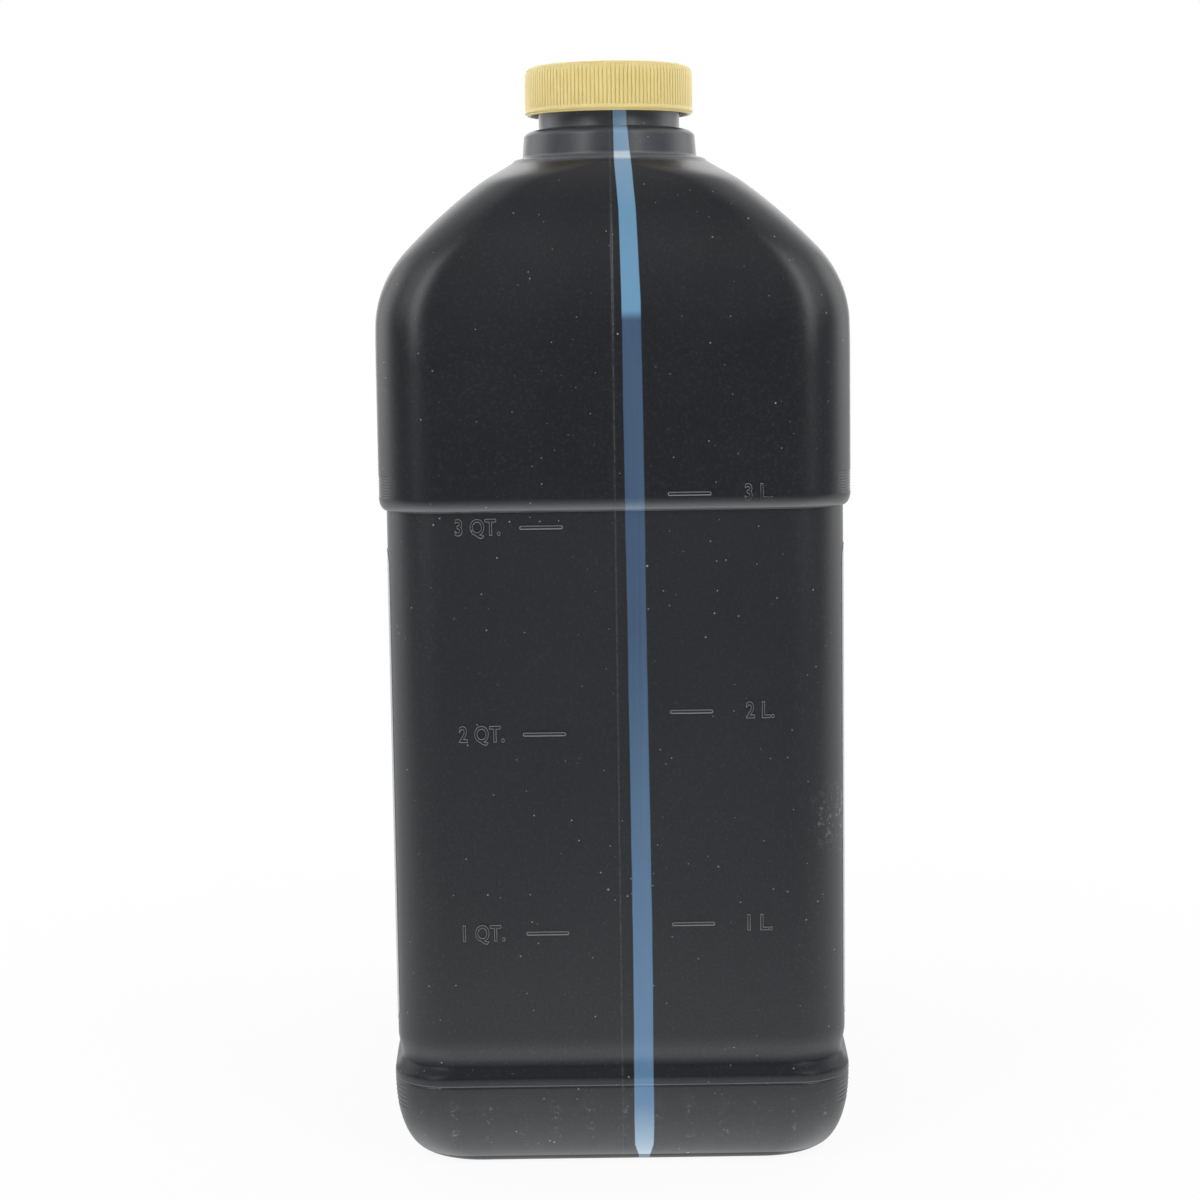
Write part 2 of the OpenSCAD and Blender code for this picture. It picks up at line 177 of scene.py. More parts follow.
def section(z, inset):
    """What shapes a level ring: half width, front corner, both ends, and the back's flat and depth."""
    w = half_width(z) - inset
    turn = smooth((z - shoulder_top + 7) / 7)
    r = max(mix(corner_r, half_width(z), turn) - inset, 1)
    y0, y1 = front_y(z) + inset, back_y(z) - inset
    rounded, column = smooth((z - edge_z0) / (edge_z - edge_z0)), smooth((z - edge_z) / (foot_z - edge_z))
    deep = min(mix(mix(corner_r, back_reach, rounded), column_reach, column) - inset, 0.9 * (y1 - y0 - r))
    flat = mix(mix(w - corner_r, 3, rounded), crest_r / 3, column)
    return w, r, y0, y1, deep, flat


def corner_ribs(z, low, high, fade, start, pitch, deep):
    """How deep the fine ribs of one band at the corners are cut at one height."""
    band = smooth((z - low) / fade) * smooth((high - z) / fade)
    return deep * band * (0.5 - 0.5 * math.cos(2 * math.pi * (z - start) / pitch))


def moulded_relief(x, y, z, nx, ny):
    """How far the mould's small features stand proud: seam, insert line, ribs, flutes and wobble."""
    seam = seam_h * bell(x / 0.16)
    insert_line = -insert_deep * bell((z - insert_z) / 0.22)
    from_end = np.minimum(y - front_y(z), back_y(z) - y)
    corner_only = smooth((np.abs(nx) - 0.74) / 0.14) * (1 - smooth((from_end - corner_r + 1) / 9))
    ribs = corner_ribs(z, **upper_ribs) + corner_ribs(z, **lower_ribs)
    from_flute = (np.abs(x) + flute_gap / 2) % flute_gap - flute_gap / 2
    flute = bell(from_flute / 1.5) * (ny < -0.9) * smooth((z - 3) / 4) * smooth((19 - z) / 5)
    flute = flute * (0.55 + 0.45 * np.sin(1.7 * x + 0.6))
    wobble = np.sin(x / 17 + z / 61 + 0.4) * np.sin(z / 37 - x / 43 + 1.1) + 0.5 * np.sin(x / 9 - z / 23)
    on_faces = 1 - smooth((np.abs(nx) - 0.8) / 0.15)
    relief = seam + insert_line + (0.06 * wobble - 0.1) * on_faces
    return relief - corner_only * ribs - flute_deep * flute


def level_ring(z, inset, counts, height=None, shrink=(1, 1)):
    """One level ring of the jug: front middle, right side, back, then the left side again."""
    columns, arc_n, side_n, end_n = counts
    w, r, y0, y1, deep, flat = section(z, inset)
    near, back_x = np.zeros(1), np.zeros(1)
    if columns > 3:
        near = np.minimum([0, 0.16, 0.34, 0.6, 1], (w - r) * np.array([0, 0.02, 0.04, 0.045, 0.05]))
        back_x = np.array([1, 0.6, 0.34, 0.16, 0])
    front_x = np.concatenate([near, (w - r) * np.linspace(0.06, 1, columns)[:-1]])
    a = np.linspace(0, math.pi / 2, arc_n + 1)
    arc_x = w + bow(y0 + r, z) * np.sin(a) - r * (1 - np.sin(a))
    arc_y = y0 + r * (1 - np.cos(a))
    side_y = mix(y0 + r, y1 - deep, np.linspace(0, 1, side_n + 1)[1:])
    a = np.linspace(0, math.pi / 2, end_n + 1)[1:]
    end_y = y1 - deep * (1 - np.sin(a))
    end_x = flat + (w + bow(end_y, z) - flat) * np.cos(a)
    xs = np.concatenate([front_x, arc_x, w + bow(side_y, z), end_x, back_x])
    ys = np.concatenate([np.full(len(front_x), y0), arc_y, side_y, end_y, np.full(len(back_x), y1)])
    half = np.stack([xs, ys], 1)
    ring = np.concatenate([half, half[-2:0:-1] * [-1, 1]])
    if inset == 0 and shrink == (1, 1):
        step = np.roll(ring, -1, 0) - np.roll(ring, 1, 0)
        n = np.stack([step[:, 1], -step[:, 0]], 1) / np.maximum(np.linalg.norm(step, axis=1), 1e-9)[:, None]
        ring = ring + n * moulded_relief(ring[:, 0], ring[:, 1], z, n[:, 0], n[:, 1])[:, None]
        ring[:, 1] = np.minimum(ring[:, 1], body_len / 2)
    cy = (front_y(z) + back_y(z)) / 2
    ring = np.stack([ring[:, 0] * shrink[0], cy + (ring[:, 1] - cy) * shrink[1]], 1)
    return np.column_stack([ring, np.full(len(ring), z if height is None else height)])


def skin(name, rings):
    """A closed skin over a stack of rings that have the same number of points."""
    n, m = len(rings[0]), len(rings)
    points = np.concatenate(rings) * MM
    faces = [tuple(range(n))[::-1], tuple((m - 1) * n + i for i in range(n))]
    for k in range(m - 1):
        for i in range(n):
            j = (i + 1) % n
            faces.append((k * n + i, k * n + j, (k + 1) * n + j, (k + 1) * n + i))
    mesh = bpy.data.meshes.new(name)
    mesh.from_pydata([tuple(p) for p in points], [], faces)
    bm = bmesh.new()
    bm.from_mesh(mesh)
    bmesh.ops.remove_doubles(bm, verts=bm.verts, dist=0.004 * MM)
    bmesh.ops.triangulate(bm, faces=bm.faces[:])
    bmesh.ops.recalc_face_normals(bm, faces=bm.faces[:])
    bm.to_mesh(mesh)
    bm.free()
    return place(name, mesh)


def jug_heights(fine):
    """Where the rings lie: close together at the ribs, steps and shoulder, and few inside."""
    spans = [
        (13.2, 20, 40), (20, 20.9, 9), (21.2, panel_z0, 4), (panel_z0, panel_z0 + foot_step_h, 12),
        (panel_z0 + foot_step_h, 35, 8), (35, panel_z1 - 1.3, 24), (panel_z1 - 0.8, panel_z1 - 0.1, 3),
        (159.9, 165.7, 52), (166, edge_z, 14), (edge_z, foot_z, 22), (foot_z, shoulder_top - ledge_h, 48),
    ]
    heights = [panel_z1 + step_h * (1 - math.cos(a)) for a in np.linspace(0, math.pi / 2, 13)]
    if not fine:
        spans = [(panel_z0, panel_z0 + foot_step_h, 1), (35, panel_z1, 2), (panel_z1 + step_h, edge_z, 4)]
        spans += [(edge_z, foot_z, 6), (foot_z, shoulder_top - ledge_h, 11)]
        heights = []
    for low, high, count in spans:
        heights += list(np.linspace(low, high, count + 1))
    heights += list(heel_h * (1 - np.cos(np.linspace(0, math.pi / 2, 25 if fine else 6))))
    kept = [0.0]
    for z in sorted(heights):
        if z - kept[-1] > 0.05:
            kept.append(float(z))
    return kept + [shoulder_top]


def jug_skin(name, inset, counts, fine):
    """The jug's skin, or with an inset the skin of the space inside it."""
    slope = math.atan(push_up / push_side)
    rings = []
    for s in ([0, 0.2, 0.5, 0.8, 1] if fine else [0, 1]):
        cut = base_land + push_side * (1 - s) - inset - inset * (1 - math.cos(slope)) / math.sin(slope)
        shrink = [1 - cut / (size / 2 - heel_less - heel_in - inset) for size in (body_w, body_len)]
        rings.append(level_ring(0, inset, counts, push_up * (1 - smooth(s)) + inset, shrink))
    for z in jug_heights(fine):
        up = inset + z * (heel_h - inset) / heel_h
        if z >= heel_h:
            ledge = ledge_h / 2 * max(0, (z - shoulder_top + ledge_h) / ledge_h)
            up = z - inset * smooth((z - edge_z0 + 8) / 8) - ledge
        rings.append(level_ring(z, inset, counts, up))
    return skin(name, rings)


def handle_skin(name, inset, sides, steps):
    """The oval handle tube, from inside the neck's shoulder to inside the back of the body."""
    bar_z = saddle_z + finger_gap + handle_b
    post_y = body_len / 2 - post_inset - post_b
    bend_y = post_y - handle_bend
    bend_z = bar_z - fall * bend_y - handle_bend
    stations = []
    for s in np.linspace(0, 1, steps, endpoint=False):
        y = mix(neck_y + crest_r / 2, bend_y, s)
        flare = bar_flare * (1 - smooth(s * 2.2))
        stations.append((y, bar_z - fall * y - flare, -handle_fall, handle_a + flare, handle_b + flare))
    for s in np.linspace(0, 1, steps):
        a = mix(handle_fall, math.pi / 2, s)
        y, z = bend_y + handle_bend * math.sin(a), bend_z + handle_bend * math.cos(a)
        stations.append((y, z, -a, handle_a, mix(handle_b, post_b, smooth(s))))
    for s in np.linspace(0, 1, steps)[1:]:
        y, z = post_y - post_lean * smooth(s), mix(bend_z, edge_z0 - post_b, s)
        stations.append((y, z, -math.pi / 2, handle_a + post_flare * smooth(s), post_b))
    a = 2 * math.pi * np.arange(sides) / sides
    rings = []
    for y, z, turn, wide, thick in stations:
        seam = 0.1 * bell(np.cos(a) / 0.02)
        across, along = (wide - inset) * np.cos(a), (thick - inset + seam) * np.sin(a)
        rings.append(np.stack([across, y - along * math.sin(turn), z + along * math.cos(turn)], 1))
    return skin(name, rings)


def lathe(name, profile, segments=144):
    """A closed turned solid about the neck's axis, from (radius, height) points."""
    a = 2 * math.pi * np.arange(segments) / segments
    n = len(profile)
    points = [(r * math.cos(t) * MM, (neck_y + r * math.sin(t)) * MM, z * MM) for t in a for r, z in profile]
    faces = []
    for k in range(segments):
        for i in range(n):
            j, q = (i + 1) % n, (k + 1) % segments
            faces.append((k * n + i, q * n + i, q * n + j, k * n + j))
    mesh = bpy.data.meshes.new(name)
    mesh.from_pydata(points, [], faces)
    bm = bmesh.new()
    bm.from_mesh(mesh)
    bmesh.ops.remove_doubles(bm, verts=bm.verts, dist=0.002 * MM)
    bmesh.ops.dissolve_degenerate(bm, edges=bm.edges[:], dist=0.001 * MM)
    bmesh.ops.recalc_face_normals(bm, faces=bm.faces[:])
    bm.to_mesh(mesh)
    bm.free()
    return place(name, mesh)


def corner(r0, z0, r1, z1, count=6, outward=True):
    """Points of a quarter round from (r0, z0) to (r1, z1)."""
    a = np.linspace(0, math.pi / 2, count)
    if outward:
        return [(r1 + (r0 - r1) * math.cos(t), z0 + (z1 - z0) * math.sin(t)) for t in a]
    return [(r0 + (r1 - r0) * math.sin(t), z1 + (z0 - z1) * math.cos(t)) for t in a]


def thread(name, root_r, crest_r, low, turns, width, steps=150):
    """A screw ridge about the neck's axis: a rounded wedge that fades out at both ends."""
    rings = []
    bite = math.copysign(0.35, root_r - crest_r)
    for s in np.linspace(0, 1, steps):
        t = 2 * math.pi * turns * s
        deep = (crest_r - root_r) * max(float(quarter(min(s, 1 - s) * turns * 9)), 0.02)
        z = low + thread_pitch * turns * s
        shape = [(bite, -0.5), (0, -0.5), (deep * 0.8, -0.26), (deep, -0.12)]
        shape += [(u, -v) for u, v in reversed(shape)]
        out = np.array([root_r + u for u, v in shape])
        up = np.array([z + v * width for u, v in shape])
        rings.append(np.stack([out * math.cos(t), neck_y + out * math.sin(t), up], 1))
    return skin(name, rings)


def combine(target, tool, operation):
    """Joins or cuts two closed solids and leaves one plain mesh."""
    cut = target.modifiers.new("combine", "BOOLEAN")
    cut.operation = operation
    cut.solver = "MANIFOLD"
    cut.object = tool
    seen = target.evaluated_get(bpy.context.evaluated_depsgraph_get())
    mesh = bpy.data.meshes.new_from_object(seen)
    target.modifiers.clear()
    target.data = mesh
    bpy.data.objects.remove(tool)


def near_tree(piece):
    """A search tree of a piece's faces, for the distance to them."""
    mesh = piece.data
    return BVHTree.FromPolygons([v.co for v in mesh.vertices], [p.vertices for p in mesh.polygons])


jug = jug_skin("jug", 0, (30, 14, 34, 20), True)
handle = handle_skin("handle", 0, 60, 30)
jug_tree, handle_tree = near_tree(jug), near_tree(handle)
combine(jug, handle, "UNION")

# The handle's roots are blended into the body, as the blown wall does in a corner
bm = bmesh.new()
bm.from_mesh(jug.data)
bmesh.ops.remove_doubles(bm, verts=bm.verts, dist=0.08 * MM)
bm.verts.ensure_lookup_table()
root_reach = 6.5 * MM
root_low, root_high = (edge_z0 - 12) * MM, (shoulder_top - 3) * MM


def root_verts():
    """The points that lie near both the body's skin and the handle's."""
    found = []
    for v in bm.verts:
        if v.co.z < root_low or v.co.z > root_high:
            continue
        if handle_tree.find_nearest(v.co, root_reach)[0] and jug_tree.find_nearest(v.co, root_reach)[0]:
            found.append(v)
    return found


for _ in range(2):
    rooted = set(root_verts())
    coarse = [e for e in bm.edges if e.calc_length() > 1.5 * MM and rooted.issuperset(e.verts)]
    bmesh.ops.subdivide_edges(bm, edges=coarse, cuts=1)
    bmesh.ops.triangulate(bm, faces=bm.faces[:])
rooted = root_verts()
for _ in range(45):
    bmesh.ops.smooth_vert(bm, verts=rooted, factor=0.5, use_axis_x=True, use_axis_y=True, use_axis_z=True)
bmesh.ops.triangulate(bm, faces=bm.faces[:])
bm.to_mesh(jug.data)
bm.free()

# The neck, turned: the collar's round bead, its fillet and cone, the finish and its lip
ledge_z, collar_top = shoulder_top - ledge_h / 2, shoulder_top + collar_h
sunk_z, bead_r, bead_z, bead_top = ledge_z - 2.2, crest_r + 1.9, ledge_z - 1.1, ledge_z + 0.06
cone_r, cone_foot, cone_in, cone_drop = collar_d / 2, collar_d / 2 + 0.35, 3.4, 1.9
neck_r, neck_root, lip, inside_r = neck_d / 2, 0.25, 0.6, bore_d / 2 - 0.5
neck_profile = (
    [(inside_r, sunk_z), (crest_r + 1.1, sunk_z), (crest_r + 1.8, ledge_z - 1.6)]
    + corner(bead_r, bead_z, cone_foot + collar_fillet, bead_top, 9)
    + corner(cone_foot + collar_fillet, bead_top, cone_foot, ledge_z + collar_fillet, 6, False)
    + corner(cone_r, collar_top - cone_drop, cone_r - cone_in, collar_top, 12)
    + corner(neck_r + neck_root, collar_top, neck_r, collar_top + neck_root, 3, False)
    + corner(neck_r, neck_top - lip, neck_r - lip, neck_top, 5)
    + [(inside_r, neck_top)]
)
combine(jug, lathe("neck", neck_profile), "UNION")
neck_thread = thread("neck_thread", neck_r, thread_d / 2, collar_top + 4.2, turns=1.4, width=2.1)
combine(jug, neck_thread, "UNION")

# The space inside, cut as one more skin a wall's thickness in, and the neck's bore
hollow = jug_skin("hollow", wall, (3, 4, 6, 8), False)
combine(hollow, handle_skin("hollow_handle", wall, 24, 12), "UNION")
combine(jug, hollow, "DIFFERENCE")
inner_r = crest_r - wall - collar_fillet
bore_z = ledge_z - wall - 1.5
bore_profile = [(0, bore_z), (inner_r, bore_z), (inner_r, ledge_z)]
bore_profile += [(bore_d / 2, collar_top), (bore_d / 2, neck_top - 0.4)]
bore_profile += [(bore_d / 2 + 0.5, neck_top + 1), (0, neck_top + 1)]
combine(jug, lathe("bore", bore_profile), "DIFFERENCE")

# Slivers that the cuts leave are merged away, so the jug is one closed mesh
bm = bmesh.new()
bm.from_mesh(jug.data)
bmesh.ops.remove_doubles(bm, verts=bm.verts, dist=0.01 * MM)
bmesh.ops.dissolve_degenerate(bm, edges=bm.edges[:], dist=0.006 * MM)
bmesh.ops.triangulate(bm, faces=bm.faces[:])
bm.to_mesh(jug.data)
bm.free()

# The stripe's own coordinate: 0 at its middle, 1 at its edges, and a large value off the front
mesh = jug.data
co = np.empty(len(mesh.vertices) * 3)
mesh.vertices.foreach_get("co", co)
x, y, z = (co.reshape(-1, 3) / MM).T
heights = [0, 60, 110, 160, 205, 226, 239, 247, 260]
middle = np.interp(z, heights, [5.0, 5.15, 4.85, 4.55, 4.25, 3.75, 2.85, 2.45, 2.3])
heights = [0, 2, 5, 12, 60, 110, 160, 205, 239, 247, 260]
half = np.interp(z, heights, [1.25, 1.4, 2.2, 2.3, 2.25, 2.2, 2.25, 2.2, 1.95, 1.6, 1.55])
in_front = (y < neck_y) & ((z > 1.5) | (y < heel_in + 8 - body_len / 2))
off_stripe = 30.0
across = np.where(in_front, np.abs((x - middle) / half), off_stripe)
stripe = mesh.attributes.new("stripe", "FLOAT", "POINT")
stripe.data.foreach_set("value", across)
for polygon in mesh.polygons:
    polygon.use_smooth = True
mesh.update()


def srgb(code):
    """The linear colour for an sRGB hex code."""
    parts = [int(code[i : i + 2], 16) / 255 for i in (1, 3, 5)]
    return tuple(c / 12.92 if c <= 0.04045 else ((c + 0.055) / 1.055) ** 2.4 for c in parts) + (1,)


def add(tree, kind, *inputs, **settings):
    """Adds one node. Its inputs are given in order, or by name among its settings.

    A node or a socket that is given for an input is linked to it, and a value is set on it.
    """
    node = tree.nodes.new(kind)
    wanted = []
    for key, value in settings.items():
        if hasattr(node, key):
            setattr(node, key, value)
        else:
            wanted.append((node.inputs[key.replace("_", " ")], value))
    wanted += zip([socket for socket in node.inputs if socket.enabled], inputs)
    for socket, value in wanted:
        if isinstance(value, bpy.types.Node):
            value = next(out for out in value.outputs if out.enabled)
        if isinstance(value, bpy.types.NodeSocket):
            tree.links.new(value, socket)
        else:
            socket.default_value = value
    return node


def new_material(name):
    """A material with an empty node tree."""
    material = bpy.data.materials.new(name)
    material.use_nodes = True
    material.node_tree.nodes.clear()
    return material, material.node_tree


def between(tree, height, low, low_full, high_full, high):
    """A mask of a band of height in millimetres, which fades out at its foot and its head."""
    rise = add(tree, "ShaderNodeMapRange", height, low * MM, low_full * MM)
    fade = add(tree, "ShaderNodeMapRange", height, high * MM, high_full * MM)
    return add(tree, "ShaderNodeMath", rise, fade, operation="MULTIPLY")


# Satin black HDPE, blown against a sand-blasted mould: a soft sheen with fine grain. The real grain
# is about 0.2 mm, too fine to show, so it is drawn at 0.7 mm. Shelf dust and rubs show as pale
# specks and short hazy scratches, in a pattern about 4 mm across and 25 mm along.
blown_hdpe, tree = new_material("satin_black_blown_hdpe")
where = add(tree, "ShaderNodeTexCoord").outputs["Object"]
spot = add(tree, "ShaderNodeSeparateXYZ", where)
height = spot.outputs["Z"]
grain = add(tree, "ShaderNodeTexNoise", where, Scale=1 / (0.7 * MM), Detail=3, Roughness=0.65)
fine_dust = add(tree, "ShaderNodeMapRange", grain, 0.52, 0.7)
patch = add(tree, "ShaderNodeTexNoise", where, Scale=1 / (30 * MM), Detail=4)
speck = add(tree, "ShaderNodeTexVoronoi", where, Scale=1 / (2.3 * MM))
speck_size = add(tree, "ShaderNodeTexNoise", where, Scale=1 / (4 * MM), Detail=2)
speck_limit = add(tree, "ShaderNodeMath", speck_size, 0.34, -0.132, operation="MULTIPLY_ADD")
specks = add(tree, "ShaderNodeMath", speck, speck_limit, operation="LESS_THAN")
leaning = add(tree, "ShaderNodeMapping", where, Scale=(260, 260, 40), Rotation=(0.5, 0.3, 0.2))
streak = add(tree, "ShaderNodeTexNoise", leaning, Scale=1.0, Detail=5, Roughness=0.7)
scratches = add(tree, "ShaderNodeMapRange", streak, 0.72, 0.83)
# A patch on the right front corner and the heel's flutes are rubbed, in a broken pattern
rub_centre = (50.5 * MM, -84 * MM, 84 * MM)
rub_offset = add(tree, "ShaderNodeVectorMath", where, rub_centre, operation="DISTANCE")
rub_near = add(tree, "ShaderNodeMapRange", rub_offset, 12 * MM, 3 * MM)
from_flute = add(tree, "ShaderNodeMath", spot.outputs["X"], flute_gap / 2 * MM, operation="PINGPONG")
on_flute = add(tree, "ShaderNodeMapRange", from_flute, 1.6 * MM, 0.2 * MM)
at_front = add(tree, "ShaderNodeMapRange", spot.outputs["Y"], -82 * MM, -90 * MM)
at_heel = between(tree, height, 3, 9, 14, 19)
at_heel = add(tree, "ShaderNodeMath", at_heel, at_front, operation="MULTIPLY")
on_flute = add(tree, "ShaderNodeMath", on_flute, at_heel, operation="MULTIPLY")
on_flute = add(tree, "ShaderNodeMath", on_flute, 0.55, operation="MULTIPLY")
rub_near = add(tree, "ShaderNodeMath", rub_near, on_flute, operation="MAXIMUM")
rub_noise = add(tree, "ShaderNodeTexNoise", where, Scale=1 / (1.3 * MM), Detail=5, Roughness=0.75)
broken = add(tree, "ShaderNodeMapRange", rub_noise, 0.56, 0.64)
rub = add(tree, "ShaderNodeMath", broken, rub_near, operation="MULTIPLY")
# The parting line is paler in patches; the step's edge has a painted reflection, the marks' edges painted
# highlights
from_seam = add(tree, "ShaderNodeMath", spot.outputs["X"], operation="ABSOLUTE")
on_seam = add(tree, "ShaderNodeMapRange", from_seam, 0.24 * MM, 0.06 * MM)
patchy = add(tree, "ShaderNodeMapRange", rub_noise, 0.38, 0.62)
parting = add(tree, "ShaderNodeMath", on_seam, patchy, operation="MULTIPLY")
step_reflection_band = between(tree, height, 156.9, 157.5, 158.6, 160.2)
edge_highlight_at = add(tree, "ShaderNodeAttribute", attribute_name="mark_edge_highlight").outputs["Fac"]
wear_and_highlights = (
    (rub, 0.38), (scratches, 0.1), (fine_dust, 0.022), (parting, 0.09), (step_reflection_band, 0.07), (edge_highlight_at, 0.36),
)
marks = add(tree, "ShaderNodeMath", specks, 0.45, operation="MULTIPLY")
for pale_mask, strength in wear_and_highlights:
    mark = add(tree, "ShaderNodeMath", pale_mask, strength, operation="MULTIPLY")
    marks = add(tree, "ShaderNodeMath", marks, mark, operation="MAXIMUM")
# Painted light: the neck and collar are lighter for their soft reflections, the collar's ledge has a painted
# highlight
in_panel = add(tree, "ShaderNodeMapRange", height, 158 * MM, 156 * MM)
at_neck = add(tree, "ShaderNodeMapRange", height, 238.4 * MM, 240.4 * MM)
neck_painted_light = add(tree, "ShaderNodeMath", at_neck, 0.62, operation="MULTIPLY")
ledge_light_band = between(tree, height, 238.2, 239, 240, 240.6)
ledge_painted_highlight = add(tree, "ShaderNodeMath", ledge_light_band, 0.25, operation="MULTIPLY")
black = add(tree, "ShaderNodeMix", patch, srgb("#13151a"), srgb("#1b1d22"), data_type="RGBA")
for amount, tint in (in_panel, "#212327"), (neck_painted_light, "#484b50"), (ledge_painted_highlight, "#8b8e92"), (marks, "#b9bcc0"):
    black = add(tree, "ShaderNodeMix", amount, black, srgb(tint), data_type="RGBA")

# Natural HDPE of the view stripe: milky blue, with the dark oil behind it up to its level, and faint
# streaks about 1 mm wide drawn out along it as it was extruded
below = add(tree, "ShaderNodeMapRange", height, 130 * MM, 0.0)
oiled = add(tree, "ShaderNodeMix", below, srgb("#334b68"), srgb("#6288ab"), data_type="RGBA")
stripe_foot = add(tree, "ShaderNodeMapRange", height, 16 * MM, 1 * MM)
oiled = add(tree, "ShaderNodeMix", stripe_foot, oiled, srgb("#aabece"), data_type="RGBA")
stripe_head = add(tree, "ShaderNodeMapRange", height, 226 * MM, 238 * MM)
empty = add(tree, "ShaderNodeMix", stripe_head, srgb("#6694b5"), srgb("#7c9cb8"), data_type="RGBA")
level = add(tree, "ShaderNodeMapRange", height, 200.6 * MM, 203.4 * MM, interpolation_type="SMOOTHSTEP")
milky = add(tree, "ShaderNodeMix", level, oiled, empty, data_type="RGBA")
# Painted reflections: the step's edge and the ledge under the collar are paler on the stripe too
step_painted_reflection = add(tree, "ShaderNodeMath", step_reflection_band, 0.04, operation="MULTIPLY")
ledge_painted_reflection = add(tree, "ShaderNodeMath", ledge_light_band, 0.72, operation="MULTIPLY")
stripe_painted_reflection = add(tree, "ShaderNodeMath", step_painted_reflection, ledge_painted_reflection, operation="MAXIMUM")
drawn_out = add(tree, "ShaderNodeMapping", where, Scale=(900, 900, 9))
streaky = add(tree, "ShaderNodeTexNoise", drawn_out, Scale=1.0, Detail=3)
streaky = add(tree, "ShaderNodeMath", streaky, 0.09, operation="MULTIPLY")
for amount, tint in (stripe_painted_reflection, "#e2eaf0"), (streaky, "#9dbbd8"):
    milky = add(tree, "ShaderNodeMix", amount, milky, srgb(tint), data_type="RGBA")
stripe_at = add(tree, "ShaderNodeAttribute", attribute_name="stripe").outputs["Fac"]
edge_wave = add(tree, "ShaderNodeTexNoise", where, Scale=1 / (14 * MM), Detail=2)
edge = add(tree, "ShaderNodeMath", edge_wave, 0.12, 0.94, operation="MULTIPLY_ADD")
outside = add(tree, "ShaderNodeMath", stripe_at, edge, operation="SUBTRACT")
in_stripe = add(tree, "ShaderNodeMapRange", outside, 0.05, -0.05)
colour = add(tree, "ShaderNodeMix", in_stripe, black, milky, data_type="RGBA")
rough = add(tree, "ShaderNodeMath", patch, 0.1, 0.3, operation="MULTIPLY_ADD")
rough = add(tree, "ShaderNodeMath", marks, 0.3, rough, operation="MULTIPLY_ADD")
# Less shine in the groove over the heel is painted shade; scuffing takes the shine off the heel's lower edge
groove_shade = between(tree, height, 21.4, 22.6, 25, 27)
dulled_and_shaded = add(tree, "ShaderNodeMath", groove_shade, -0.32, 0.5, operation="MULTIPLY_ADD")
low_heel = add(tree, "ShaderNodeMapRange", height, 15 * MM, 3 * MM)
dulled_and_shaded = add(tree, "ShaderNodeMath", low_heel, -0.22, dulled_and_shaded, operation="MULTIPLY_ADD")
bump = add(tree, "ShaderNodeBump", Strength=0.25, Distance=0.06 * MM, Height=grain)
satin = {"Roughness": rough, "IOR": 1.54, "Specular_IOR_Level": dulled_and_shaded, "Normal": bump}
shader = add(tree, "ShaderNodeBsdfPrincipled", colour, **satin)
add(tree, "ShaderNodeOutputMaterial", shader)
jug.data.materials.clear()
jug.data.materials.append(blown_hdpe)
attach(jug, "bottle")
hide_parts("bottle")

# Level marks: lines and figures cut in the mould, so they stand proud of the front face.
# Litres stand right of the stripe and quarts left of the seam, in the same black plastic.
mark_proud, bar_line, bar_near, bar_far = 0.24, 1.0, 12.1, 22.3
figure_h, figure_squeeze, flat_half, edge_round, litre_x, quart_x = 5.2, 0.8, 0.1, 0.18, 29.9, -37.2
litre_marks = ((59.2, "1 L."), (109.8, "2 L."), (160.9, "3 L."))
quart_marks = ((57.4, "1 QT."), (104.9, "2 QT."), (153.4, "3 QT."))


def raised_bar(bm, x0, x1, z):
    """A bar with round ends and a bevelled face, standing on the front face."""
    y = front_y(z)
    r = bar_line / 2
    turns = np.linspace(-math.pi / 2, math.pi / 2, 9)
    outline = [(x1 - r + r * math.cos(a), z + r * math.sin(a)) for a in turns]
    outline += [(x0 + r - r * math.cos(a), z - r * math.sin(a)) for a in turns]
    loops = []
    for inset, out in (0, -0.3), (0, 0), (0.1, mark_proud * 0.6), (0.34, mark_proud):
        loop = []
        for px, pz in outline:
            toward = Vector((min(max(px, x0 + r), x1 - r) - px, z - pz))
            toward = toward.normalized() * inset if toward.length > 0 else toward
            loop.append(bm.verts.new(((px + toward.x) * MM, (y - out) * MM, (pz + toward.y) * MM)))
        loops.append(loop)
    n = len(outline)
    for low, high in zip(loops, loops[1:]):
        for i in range(n):
            bm.faces.new((low[i], low[(i + 1) % n], high[(i + 1) % n], high[i]))
    bm.faces.new(loops[0][::-1])
    bm.faces.new(loops[-1])


bm = bmesh.new()
for z_mark, _ in litre_marks:
    raised_bar(bm, bar_near, bar_far, z_mark)
for z_mark, _ in quart_marks:
    raised_bar(bm, -bar_far, -bar_near, z_mark)
bmesh.ops.recalc_face_normals(bm, faces=bm.faces[:])
mesh = bpy.data.meshes.new("level_marks")
bm.to_mesh(mesh)
bm.free()
level_marks = place("level_marks", mesh)


def figures(text, x_left, z):
    """Moulded figures on the front face, from their left edge and middle height."""
    curve = bpy.data.curves.new("figure", "FONT")
    curve.body = text
    curve.size = figure_h * MM
    curve.extrude = flat_half * MM
    curve.bevel_depth = edge_round * MM
    curve.bevel_resolution = 2
    curve.resolution_u = 4
    curve.space_character = 1.08
    curve.align_y = "CENTER"
    drawn = place("figure", curve)
    mesh = bpy.data.meshes.new_from_object(drawn.evaluated_get(bpy.context.evaluated_depsgraph_get()))
    bpy.data.objects.remove(drawn)
    left = min(v.co.x for v in mesh.vertices)
    mesh.transform(Matrix.Diagonal((figure_squeeze, 1, 1, 1)) @ Matrix.Translation((-left, 0, 0)))
    mesh.transform(Matrix.Rotation(math.pi / 2, 4, "X"))
    y = front_y(z) - mark_proud + flat_half + edge_round
    mesh.transform(Matrix.Translation(Vector((x_left, y, z)) * MM))
    return mesh


